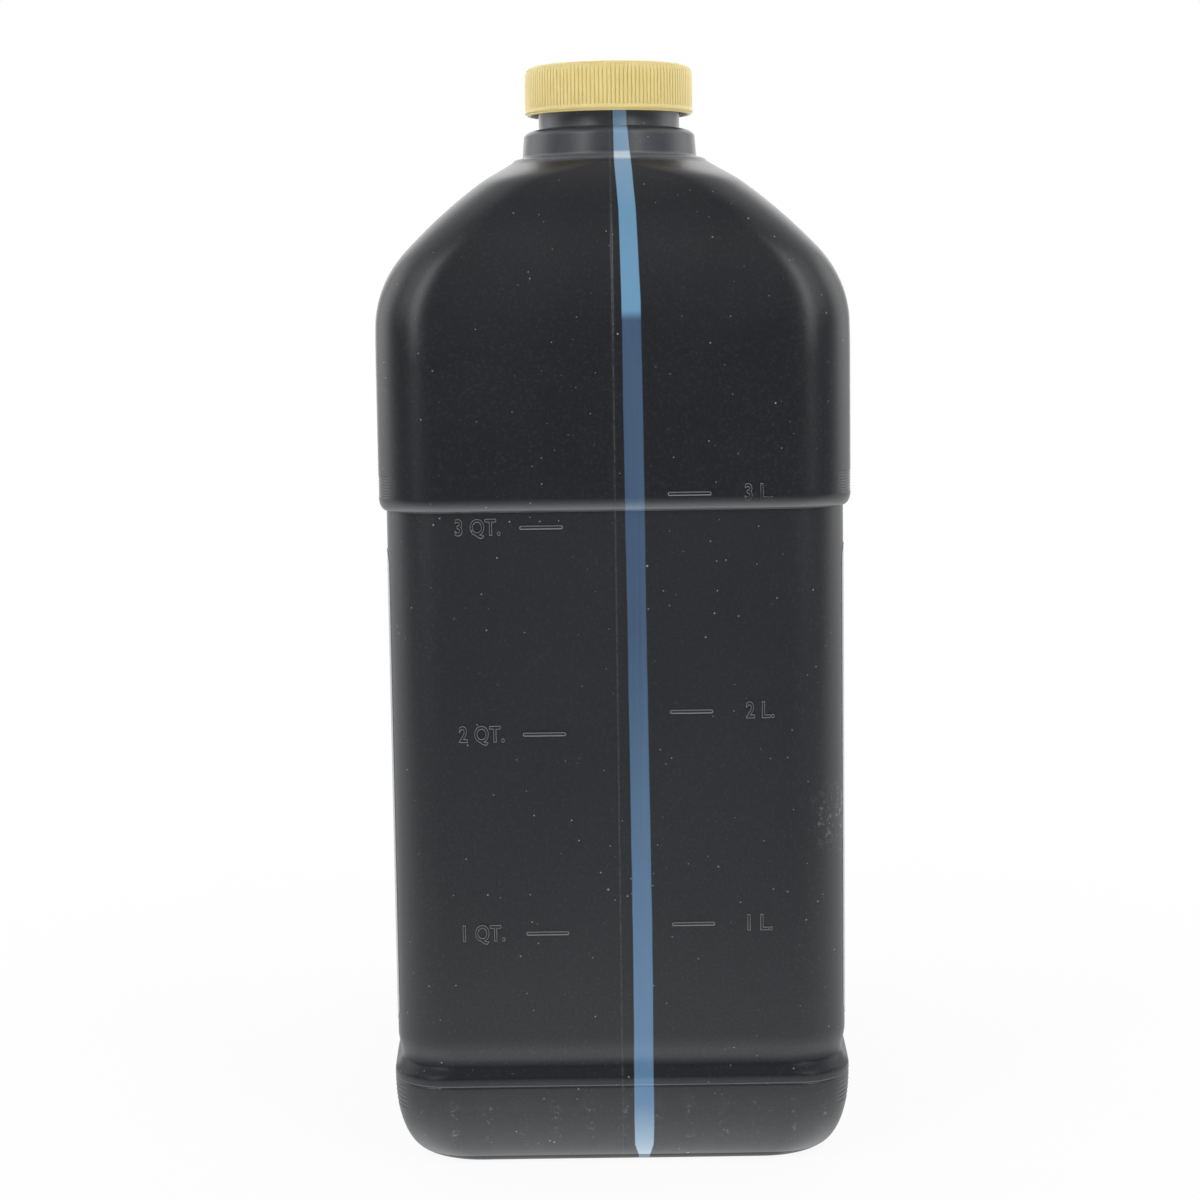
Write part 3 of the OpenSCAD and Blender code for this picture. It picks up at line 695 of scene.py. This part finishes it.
bm = bmesh.new()
bm.from_mesh(level_marks.data)
for z_mark, text in litre_marks:
    bm.from_mesh(figures(text, litre_x, z_mark))
for z_mark, text in quart_marks:
    bm.from_mesh(figures(text, quart_x, z_mark))
bm.to_mesh(level_marks.data)
bm.free()

# The marks lie off the stripe, and their edges carry painted highlights
stripe = level_marks.data.attributes.new("stripe", "FLOAT", "POINT")
stripe.data.foreach_set("value", [off_stripe] * len(level_marks.data.vertices))
mark_edge_highlight = level_marks.data.attributes.new("mark_edge_highlight", "FLOAT", "POINT")
sunk = [v.co.y / MM - front_y(v.co.z / MM) + mark_proud for v in level_marks.data.vertices]
mark_edge_highlight.data.foreach_set("value", [float(0.02 < s < 0.22) for s in sunk])
level_marks.data.materials.clear()
level_marks.data.materials.append(blown_hdpe)
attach(level_marks, "bottle")

# Screw cap: buff polypropylene, injection moulded, with fine flat-faced grip ribs above a plain rim.
# The ribs fade out just under the rounded top edge, and the skirt carries the inner thread.
cap_low, cap_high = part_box("cap")
cap_z0, cap_z1 = cap_low[2] / MM, cap_high[2] / MM
cap_r = (cap_high[0] - cap_low[0]) / MM / 2
rib_count, rib_deep, rim_h, cap_edge, cap_top_t, cap_bore = 130, 0.32, 1.45, 1.5, 1.4, 37.9 / 2
root, foot_r, rib_levels = cap_r - rib_deep - 0.06, cap_r - 0.45, 9
dish_z, under_top = cap_z1 - 0.18, cap_z1 - cap_top_t
cap_profile = (
    [(cap_bore, cap_z0 + 0.3), (cap_bore + 0.2, cap_z0), (cap_r - 0.55, cap_z0), (foot_r, cap_z0 + 0.1)]
    + [(foot_r, cap_z0 + 0.4), (cap_r - 0.15, cap_z0 + 0.42), (cap_r, cap_z0 + 0.6)]
    + [(cap_r, cap_z0 + rim_h - 0.25), (cap_r - 0.1, cap_z0 + rim_h), (root, cap_z0 + rim_h + 0.2)]
    + [(root, z) for z in np.linspace(cap_z0 + rim_h + 0.8, cap_z1 - cap_edge - 0.2, 5)]
    + corner(root, cap_z1 - cap_edge, root - cap_edge, cap_z1, 8)
    + [(root - cap_edge - 0.8, cap_z1), (root - cap_edge - 1.1, dish_z), (3, dish_z)]
    + [(0.01, dish_z), (0.01, under_top), (cap_bore - 0.5, under_top), (cap_bore, under_top - 0.5)]
)
cap = lathe("cap_shell", cap_profile, 2 * rib_count)

# One rib: a flat face on the skirt that thins out as it follows the rounded top edge
rib_mesh = bpy.data.meshes.new("rib")
rib_low, rib_top = cap_z0 + rim_h - 0.1, cap_z1 - cap_edge * 0.5
pitch = 2 * math.pi * root / rib_count
rib_face = [(0.44, -0.12), (0.42, 0.1), (0.38, 0.75), (0.28, 1)]
rib_face += [(-u, v) for u, v in reversed(rib_face)]
rings = []
for s in np.linspace(0, 1, rib_levels):
    zz = mix(rib_low, rib_top, s)
    follow = cap_edge - math.sqrt(max(cap_edge**2 - max(zz - cap_z1 + cap_edge, 0) ** 2, 0))
    tall = rib_deep * quarter(min(1, (1 - s) * 7 + 0.02))
    arc = [(u * pitch, root - follow + (v * tall if v > 0 else v)) for u, v in rib_face]
    rings.append([(u * MM, v * MM, zz * MM) for u, v in arc])
points = [p for ring in rings for p in ring]
n = len(rib_face)
faces = []
for k in range(rib_levels - 1):
    for i in range(n):
        j = (i + 1) % n
        faces.append((k * n + j, k * n + i, (k + 1) * n + i, (k + 1) * n + j))
faces += [tuple(range(n)), tuple(range(rib_levels * n - 1, (rib_levels - 1) * n - 1, -1))]
rib_mesh.from_pydata(points, [], faces)
rib = place("rib", rib_mesh)


def rib_ring_tree(material):
    """Geometry Nodes tree that sets copies of a rib round the cap's axis and joins the shell."""
    tree = bpy.data.node_groups.new("cap_ribs", "GeometryNodeTree")
    face = tree.interface
    for name, kind in ("Geometry", "Geometry"), ("Rib", "Object"), ("Rib Count", "Int"), ("Axis", "Vector"):
        face.new_socket(name, in_out="INPUT", socket_type="NodeSocket" + kind)
    face.new_socket("Geometry", in_out="OUTPUT", socket_type="NodeSocketGeometry")
    given = add(tree, "NodeGroupInput").outputs
    spots = add(tree, "GeometryNodeMeshCircle", given["Rib Count"], 1e-5)
    on_axis = add(tree, "GeometryNodeSetPosition", spots, Position=given["Axis"])
    number = add(tree, "GeometryNodeInputIndex")
    part = add(tree, "ShaderNodeMath", number, given["Rib Count"], operation="DIVIDE")
    turn = add(tree, "ShaderNodeMath", part, 2 * math.pi, operation="MULTIPLY")
    euler = add(tree, "ShaderNodeCombineXYZ", Z=turn)
    shape = add(tree, "GeometryNodeObjectInfo", given["Rib"]).outputs["Geometry"]
    copies = add(tree, "GeometryNodeInstanceOnPoints", on_axis, Instance=shape, Rotation=euler)
    real = add(tree, "GeometryNodeRealizeInstances", copies)
    both = add(tree, "GeometryNodeJoinGeometry", given["Geometry"])
    tree.links.new(real.outputs[0], both.inputs[0])
    painted = add(tree, "GeometryNodeSetMaterial", both, Material=material)
    add(tree, "NodeGroupOutput", painted)
    return tree


# Buff polypropylene: a low satin gloss, faintly waxy, with a few tiny dark specks of dust. The
# polished mould leaves a finer texture than this, which is drawn at 0.5 mm so that it shows.
cap_plastic, tree = new_material("buff_moulded_polypropylene")
where = add(tree, "ShaderNodeTexCoord").outputs["Object"]
cloud = add(tree, "ShaderNodeTexNoise", where, Scale=1 / (6 * MM), Detail=3)
buff = add(tree, "ShaderNodeMix", cloud, srgb("#e1cc85"), srgb("#efdb98"), data_type="RGBA")
dust = add(tree, "ShaderNodeTexVoronoi", where, Scale=1 / (3.5 * MM))
dust = add(tree, "ShaderNodeMath", dust, 0.035, operation="LESS_THAN")
dust = add(tree, "ShaderNodeMath", dust, 0.5, operation="MULTIPLY")
buff = add(tree, "ShaderNodeMix", dust, buff, srgb("#7d6c3a"), data_type="RGBA")
rough = add(tree, "ShaderNodeMath", cloud, 0.1, 0.36, operation="MULTIPLY_ADD")
fine = add(tree, "ShaderNodeTexNoise", where, Scale=1 / (0.5 * MM), Detail=2)
bump = add(tree, "ShaderNodeBump", Strength=0.12, Distance=0.03 * MM, Height=fine)
waxy = {"Subsurface_Weight": 0.12, "Subsurface_Radius": (1.0, 0.6, 0.3), "Subsurface_Scale": 1.2 * MM}
shader = add(tree, "ShaderNodeBsdfPrincipled", buff, Roughness=rough, IOR=1.49, Normal=bump, **waxy)
add(tree, "ShaderNodeOutputMaterial", shader)

rib_tree = rib_ring_tree(cap_plastic)
ribs = cap.modifiers.new("ribs", "NODES")
ribs.node_group = rib_tree
sockets = {item.name: item.identifier for item in rib_tree.interface.items_tree if item.in_out == "INPUT"}
ribs[sockets["Rib"]] = rib
ribs[sockets["Rib Count"]] = rib_count
ribs[sockets["Axis"]] = (0, neck_y * MM, 0)
seen = cap.evaluated_get(bpy.context.evaluated_depsgraph_get())
mesh = bpy.data.meshes.new_from_object(seen)
cap.modifiers.clear()
cap.data = mesh
bpy.data.objects.remove(rib)
cap_thread = thread("cap_thread", cap_bore, neck_d / 2 + 0.3, cap_z0 + 1.9, turns=1.3, width=2.0)
bm = bmesh.new()
bm.from_mesh(cap.data)
bm.from_mesh(cap_thread.data)
bm.to_mesh(cap.data)
bm.free()
bpy.data.objects.remove(cap_thread)
for polygon in cap.data.polygons:
    polygon.use_smooth = True
    polygon.material_index = 0
cap.data.materials.clear()
cap.data.materials.append(cap_plastic)
cap.data.set_sharp_from_angle(angle=math.radians(50))
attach(cap, "cap")
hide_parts("cap")

# Sealing liner: a disc of foamed polyethylene, cut from sheet and pressed into the cap.
# It stays against the cap's top and seals on the neck's rim. It is matt, with a faint mottle of
# cells, which are about 0.3 mm in the real foam and drawn at 0.8 mm so that they show.
liner_foam, tree = new_material("foamed_polyethylene_liner")
where = add(tree, "ShaderNodeTexCoord").outputs["Object"]
cells = add(tree, "ShaderNodeTexVoronoi", where, Scale=1 / (0.8 * MM))
foam = add(tree, "ShaderNodeMix", cells, srgb("#e9e7df"), srgb("#d4d1c6"), data_type="RGBA")
bump = add(tree, "ShaderNodeBump", Strength=0.3, Distance=0.08 * MM, Height=cells)
shader = add(tree, "ShaderNodeBsdfPrincipled", foam, Roughness=0.7, Normal=bump)
add(tree, "ShaderNodeOutputMaterial", shader)
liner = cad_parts["cap_liner"]
liner.data.materials.clear()
liner.data.materials.append(liner_foam)

# Labels: dark printed film on each wide face, die cut with round corners and stuck in the panel.
# Only their edges show from the front, so each is one plain field with a thin pale border.
# The film is glossy, with a clear coat, and ripples slightly where it follows the wall.
label_film, tree = new_material("dark_gloss_label_film")
where = add(tree, "ShaderNodeTexCoord").outputs["Object"]
sheen = add(tree, "ShaderNodeTexNoise", where, Scale=1 / (45 * MM), Detail=3)
ink = add(tree, "ShaderNodeMix", sheen, srgb("#26282c"), srgb("#303338"), data_type="RGBA")
border_at = add(tree, "ShaderNodeAttribute", attribute_name="border").outputs["Fac"]
border = add(tree, "ShaderNodeMapRange", border_at, 0.24, 0.16)
ink = add(tree, "ShaderNodeMix", border, ink, srgb("#8d9096"), data_type="RGBA")
ripple = add(tree, "ShaderNodeBump", Strength=0.2, Distance=0.4 * MM, Height=sheen)
gloss = {"Roughness": 0.16, "IOR": 1.5, "Coat_Weight": 0.4, "Coat_Roughness": 0.12}
shader = add(tree, "ShaderNodeBsdfPrincipled", ink, Normal=ripple, **gloss)
add(tree, "ShaderNodeOutputMaterial", shader)


def wall_x(y, z):
    """Half width of the outer wall at one point, on the corners as well as on the wide face."""
    w, r, y0, y1, deep, flat = section(z, 0)
    if y < y0 + r:
        turned = math.sqrt(1 - (1 - max(y - y0, 0) / r) ** 2)
        return w + bow(y0 + r, z) * turned - r * (1 - turned)
    if y < y1 - deep:
        return w + bow(y, z)
    return flat + (w + bow(y, z) - flat) * math.sqrt(max(1 - ((y - y1 + deep) / deep) ** 2, 0))


def label_piece(node, side):
    """A thin film that follows the wide face and its corners.

    It stores each point's distance from its edge, in corner radii, for the border.
    """
    low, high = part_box(node)
    y0, y1, z0, z1 = low[1] / MM, high[1] / MM, low[2] / MM, high[2] / MM
    end_y0, end_y1 = y0 + 6, y1 - 6
    spans = ((y0, end_y0, 11), (end_y0, end_y1, 36), (end_y1, y1, 9))
    across = np.concatenate([[y0]] + [np.linspace(*span)[1:] for span in spans])
    up = np.linspace(z0, z1, 41)
    round_r, film, tucked = 4.0, 0.13, 0.05
    points, edges = [], []
    for row in up:
        for column in across:
            y, z = column, row
            inner_y, inner_z = np.clip(y, y0 + round_r, y1 - round_r), np.clip(z, z0 + round_r, z1 - round_r)
            out = Vector((y - inner_y, z - inner_z))
            if out.x and out.y:
                out = out.normalized() * max(abs(out.x), abs(out.y))
                y, z = inner_y + out.x, inner_z + out.y
            points.append((side * wall_x(y, z), y, z))
            edges.append(min(column - y0, y1 - column, row - z0, z1 - row) / round_r)
    n, wide = len(points), len(across)
    outer = [(p[0] + side * film, p[1], p[2]) for p in points]
    under = [(p[0] - side * tucked, p[1], p[2]) for p in points]
    faces = []
    for i in range(len(up) - 1):
        for j in range(wide - 1):
            a = i * wide + j
            faces.append((a, a + 1, a + wide + 1, a + wide))
            faces.append((n + a, n + a + wide, n + a + wide + 1, n + a + 1))
    last = n - wide
    rim = list(range(wide - 1)) + list(range(wide - 1, n - 1, wide))
    rim += list(range(n - 1, last, -1)) + list(range(last, 0, -wide))
    for k, a in enumerate(rim):
        b = rim[(k + 1) % len(rim)]
        faces.append((a, n + a, n + b, b))
    mesh = bpy.data.meshes.new(node + "_film")
    mesh.from_pydata([tuple(c * MM for c in p) for p in under + outer], [], faces)
    border = mesh.attributes.new("border", "FLOAT", "POINT")
    border.data.foreach_set("value", edges + edges)
    bm = bmesh.new()
    bm.from_mesh(mesh)
    bmesh.ops.recalc_face_normals(bm, faces=bm.faces[:])
    bm.to_mesh(mesh)
    bm.free()
    for polygon in mesh.polygons:
        polygon.use_smooth = True
    mesh.set_sharp_from_angle(angle=math.radians(40))
    piece = place(node + "_film", mesh)
    mesh.materials.append(label_film)
    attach(piece, "bottle")
    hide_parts(node)


label_piece("left_label", -1)
label_piece("right_label", 1)

# Oil: clear amber lubricant that fills the jug to the foot of the shoulders.
# It is sealed in, and only its level shows through the stripe.
motor_oil, tree = new_material("amber_motor_oil")
where = add(tree, "ShaderNodeTexCoord").outputs["Object"]
haze = add(tree, "ShaderNodeTexNoise", where, Scale=1 / (60 * MM), Detail=2)
amber = add(tree, "ShaderNodeMix", haze, srgb("#b4731c"), srgb("#c98a2e"), data_type="RGBA")
clear = {"Roughness": 0.05, "IOR": 1.47, "Transmission_Weight": 0.7}
shader = add(tree, "ShaderNodeBsdfPrincipled", amber, **clear)
add(tree, "ShaderNodeOutputMaterial", shader)
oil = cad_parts["oil"]
oil.data.materials.clear()
oil.data.materials.append(motor_oil)

# Studio: a white table and backdrop that stay white to the camera. Soft lamps stand at both sides and
# behind, broad and strip lamps in front at both sides, and a low light lies on the table and shines up.
# The room in front is darker, so the front face stays dark and its edges fade to light.
floor_mesh = bpy.data.meshes.new("floor")
reach = 3.0
corners = [(-reach, -reach, 0), (reach, -reach, 0), (reach, reach, 0), (-reach, reach, 0)]
floor_mesh.from_pydata(corners, [], [(0, 1, 2, 3)])
floor = place("floor", floor_mesh)
paper, tree = new_material("white_paper_sweep")
diffuse = add(tree, "ShaderNodeBsdfDiffuse", srgb("#f2f2f2"))
path = add(tree, "ShaderNodeLightPath").outputs
seen = add(tree, "ShaderNodeMath", path["Is Camera Ray"], path["Is Glossy Ray"], operation="MAXIMUM")
seen = add(tree, "ShaderNodeMath", seen, path["Is Transmission Ray"], operation="MAXIMUM")
spot = add(tree, "ShaderNodeTexCoord").outputs["Object"]
toward_front = add(tree, "ShaderNodeSeparateXYZ", spot).outputs["Y"]
unlit = add(tree, "ShaderNodeMapRange", toward_front, -0.08, -0.46, interpolation_type="SMOOTHSTEP")
unlit = add(tree, "ShaderNodeMath", unlit, 0.84, operation="MULTIPLY")
unlit = add(tree, "ShaderNodeMath", unlit, path["Is Glossy Ray"], operation="MULTIPLY")
glow = add(tree, "ShaderNodeMath", 1.0, unlit, operation="SUBTRACT")
white = add(tree, "ShaderNodeEmission", (1, 1, 1, 1), glow)
from_jug = add(tree, "ShaderNodeVectorMath", spot, operation="LENGTH")
whiteness = add(tree, "ShaderNodeMapRange", from_jug, 0.14, 0.42, interpolation_type="SMOOTHSTEP")
whiteness = add(tree, "ShaderNodeMath", whiteness, 0.07, 0.93, operation="MULTIPLY_ADD")
share = add(tree, "ShaderNodeMath", seen, whiteness, operation="MULTIPLY")
both = add(tree, "ShaderNodeMixShader", share, diffuse, white)
add(tree, "ShaderNodeOutputMaterial", both)
floor_mesh.materials.append(paper)

# The room: white to the camera, and for the light and reflections dim in front and bright behind
world = bpy.data.worlds.new("studio")
bpy.context.scene.world = world
world.use_nodes = True
tree = world.node_tree
tree.nodes.clear()
toward = add(tree, "ShaderNodeTexCoord").outputs["Generated"]
toward_back = add(tree, "ShaderNodeSeparateXYZ", toward).outputs["Y"]
room = add(tree, "ShaderNodeMapRange", toward_back, -0.38, 0.32, interpolation_type="SMOOTHSTEP")
room = add(tree, "ShaderNodeMath", room, 0.72, 0.13, operation="MULTIPLY_ADD")
dim = add(tree, "ShaderNodeBackground", (1, 1, 1, 1), room)
bright = add(tree, "ShaderNodeBackground", (1, 1, 1, 1), 1.0)
path = add(tree, "ShaderNodeLightPath").outputs
seen = add(tree, "ShaderNodeMath", path["Is Camera Ray"], path["Is Transmission Ray"], operation="MAXIMUM")
add(tree, "ShaderNodeOutputWorld", add(tree, "ShaderNodeMixShader", seen, dim, bright))


def softbox(name, spot, aim, width, height, power, spread=180):
    """A soft lamp of a width, height and power in watts, at one place and aimed at another."""
    lamp = bpy.data.lights.new(name, "AREA")
    lamp.shape = "RECTANGLE"
    lamp.size, lamp.size_y, lamp.energy = width, height, power
    lamp.spread = math.radians(spread)
    holder = place(name, lamp)
    holder.location = spot
    holder.rotation_euler = (Vector(aim) - Vector(spot)).to_track_quat("-Z", "Y").to_euler()


middle_point = (0, 0, 0.13)
softbox("left_softbox", (-1.0, 0.35, 0.5), middle_point, 0.7, 0.9, 2.2)
softbox("right_softbox", (1.0, 0.35, 0.5), middle_point, 0.7, 0.9, 2.2)
softbox("back_softbox", (0, 1.3, 0.6), middle_point, 1.8, 1.2, 8)
softbox("left_front_softbox", (-0.9, -0.75, 1.1), middle_point, 1.1, 1.1, 4.6)
softbox("right_front_softbox", (0.9, -0.75, 1.1), middle_point, 1.1, 1.1, 4.6)
softbox("left_strip", (-0.75, -1.1, 0.85), middle_point, 0.3, 1.3, 4.2)
softbox("right_strip", (0.75, -1.1, 0.85), middle_point, 0.3, 1.3, 4.2)
softbox("table_light", (0, -0.3, 0.002), (0, -0.3, 1), 1.0, 0.9, 2.4, 110)
